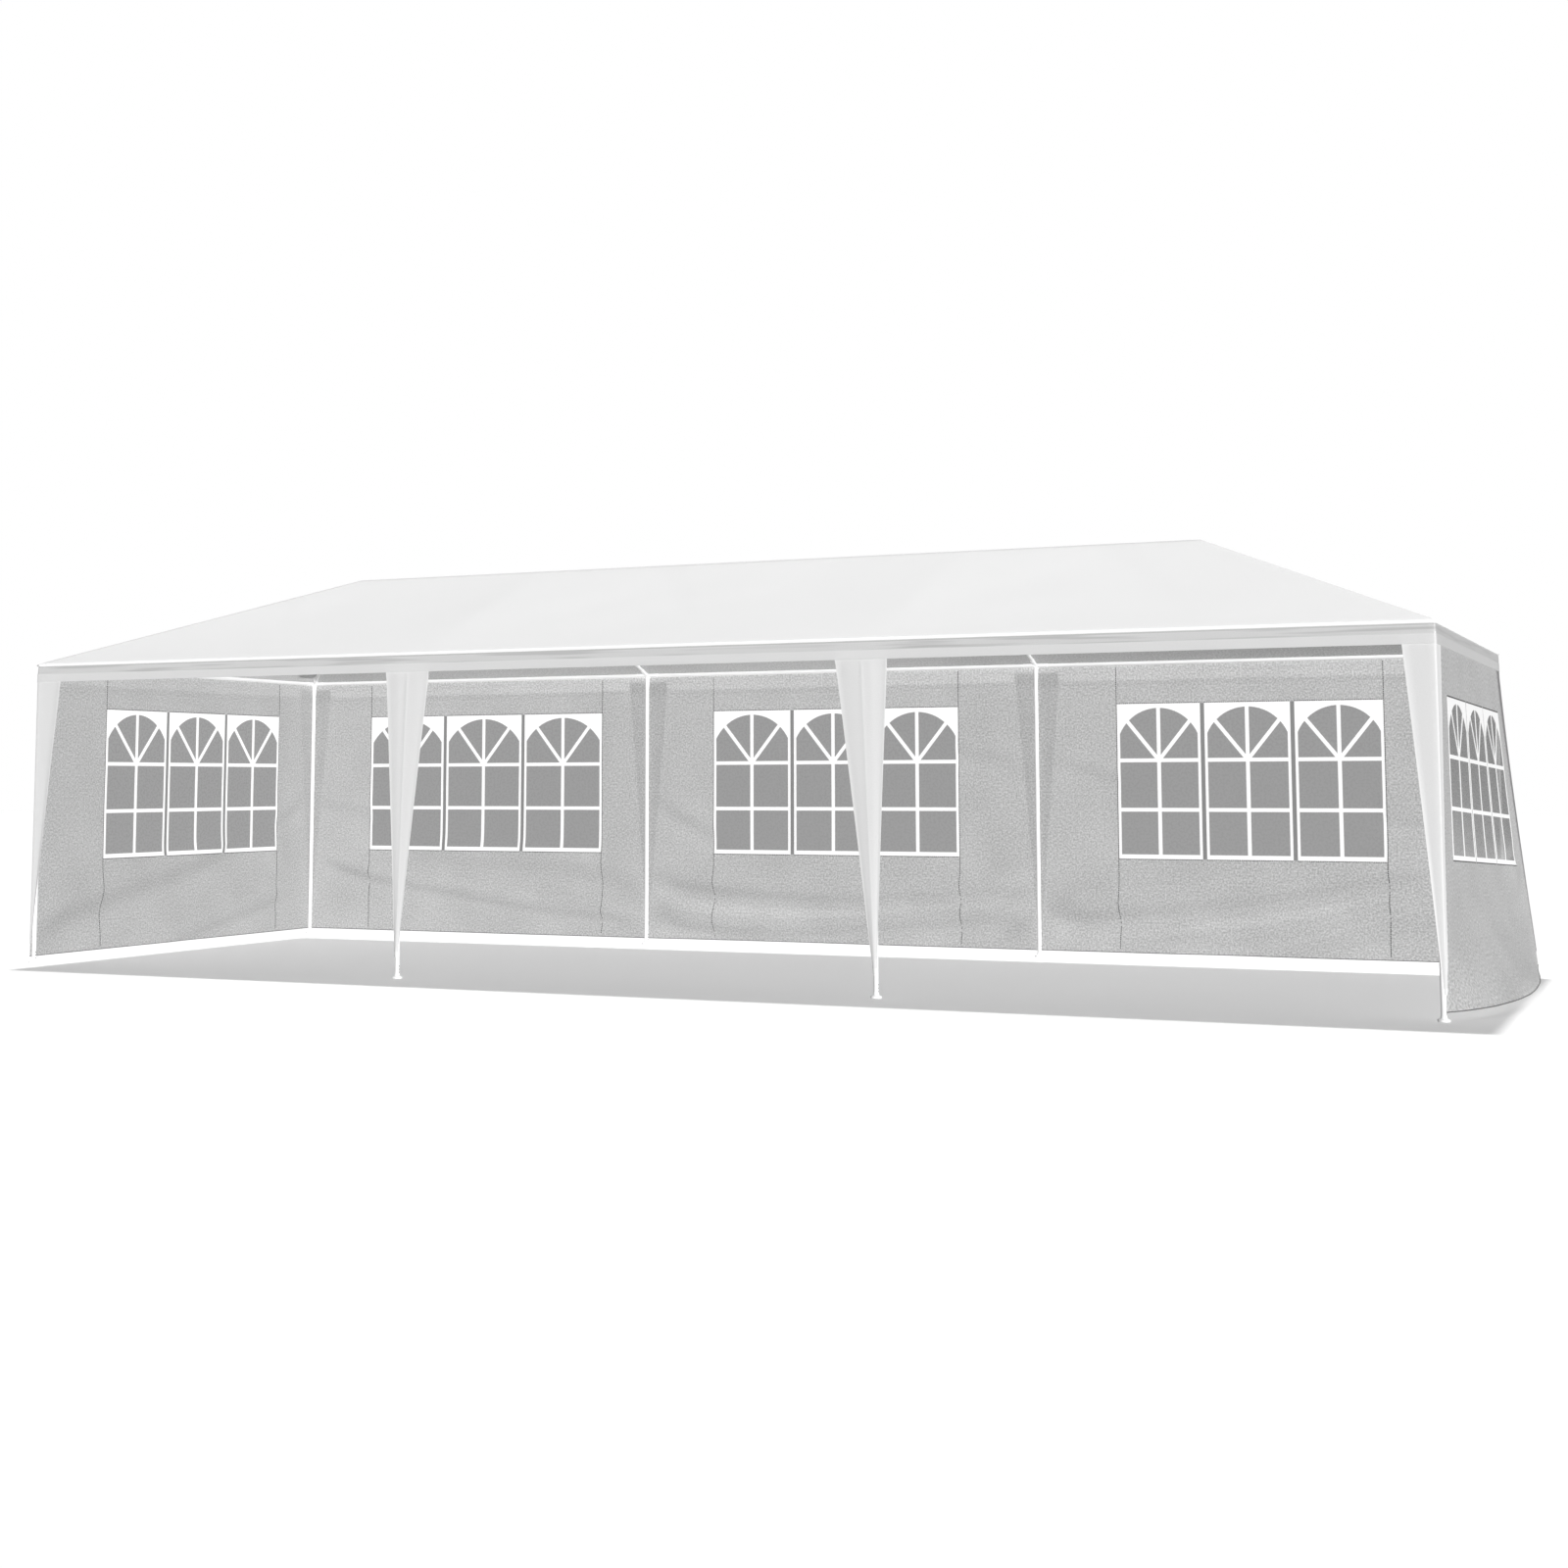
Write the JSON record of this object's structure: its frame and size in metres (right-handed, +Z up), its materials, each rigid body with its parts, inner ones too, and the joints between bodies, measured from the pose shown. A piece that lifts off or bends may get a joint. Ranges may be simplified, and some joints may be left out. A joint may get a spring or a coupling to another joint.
{
  "type": "marquee tent",
  "caption": "White marquee tent with a hipped roof, a valance with leg drapes, tube legs, cloth walls with arched film windows and an open long side.",
  "frame": {"origin": "on the ground, in the middle of the box round the whole tent", "axes": "+X along the tent's length towards the end whose wall blows out, +Y to the closed long side, the open front facing -Y, +Z up"},
  "size_m": [9.2714, 3.037, 2.5938],
  "materials": {
    "white_tube": "white powder coat on steel tube",
    "white_joint": "white powder coat on pressed steel joints",
    "roof_cloth": "white woven polyethylene sheeting with a soft sheen",
    "wall_cloth": "thin white woven polyethylene that lets some light through",
    "window_film": "clear flexible film that reads grey",
    "window_print": "opaque white window frames welded on the film"
  },
  "bodies": {
    "root": {"leg_front_1": "white_tube", "leg_front_2": "white_tube", "leg_front_3": "white_tube", "leg_front_4": "white_tube", "leg_back_1": "white_tube", "leg_back_2": "white_tube", "leg_back_3": "white_tube", "leg_back_4": "white_tube", "eave_joint_front_1": "white_joint", "eave_joint_front_2": "white_joint", "eave_joint_front_3": "white_joint", "eave_joint_front_4": "white_joint", "eave_joint_back_1": "white_joint", "eave_joint_back_2": "white_joint", "eave_joint_back_3": "white_joint", "eave_joint_back_4": "white_joint", "rail_front_1": "white_tube", "rail_front_2": "white_tube", "rail_front_3": "white_tube", "rail_back_1": "white_tube", "rail_back_2": "white_tube", "rail_back_3": "white_tube", "rail_left": "white_tube", "rail_right": "white_tube", "hip_rafter_front_1": "white_tube", "rafter_front_2": "white_tube", "rafter_front_3": "white_tube", "hip_rafter_front_4": "white_tube", "hip_rafter_back_1": "white_tube", "rafter_back_2": "white_tube", "rafter_back_3": "white_tube", "hip_rafter_back_4": "white_tube", "ridge_joint_2": "white_joint", "ridge_joint_3": "white_joint", "ridge_pole_1": "white_tube", "ridge_pole_2": "white_tube", "ridge_pole_3": "white_tube", "wall_back_1": "wall_cloth", "wall_back_2": "wall_cloth", "wall_back_3": "wall_cloth", "wall_left": "wall_cloth", "wall_right": "wall_cloth", "window_film_back_1": "window_film", "window_film_back_2": "window_film", "window_film_back_3": "window_film", "window_film_left": "window_film", "window_film_right": "window_film", "valance_front": "roof_cloth", "valance_back": "roof_cloth", "valance_left": "roof_cloth", "valance_right": "roof_cloth", "drape_back_1": "roof_cloth", "drape_back_2": "roof_cloth", "drape_back_3": "roof_cloth", "drape_back_4": "roof_cloth", "roof_front": "roof_cloth", "roof_back": "roof_cloth", "roof_left": "roof_cloth", "roof_right": "roof_cloth"}
  },
  "joints": []
}
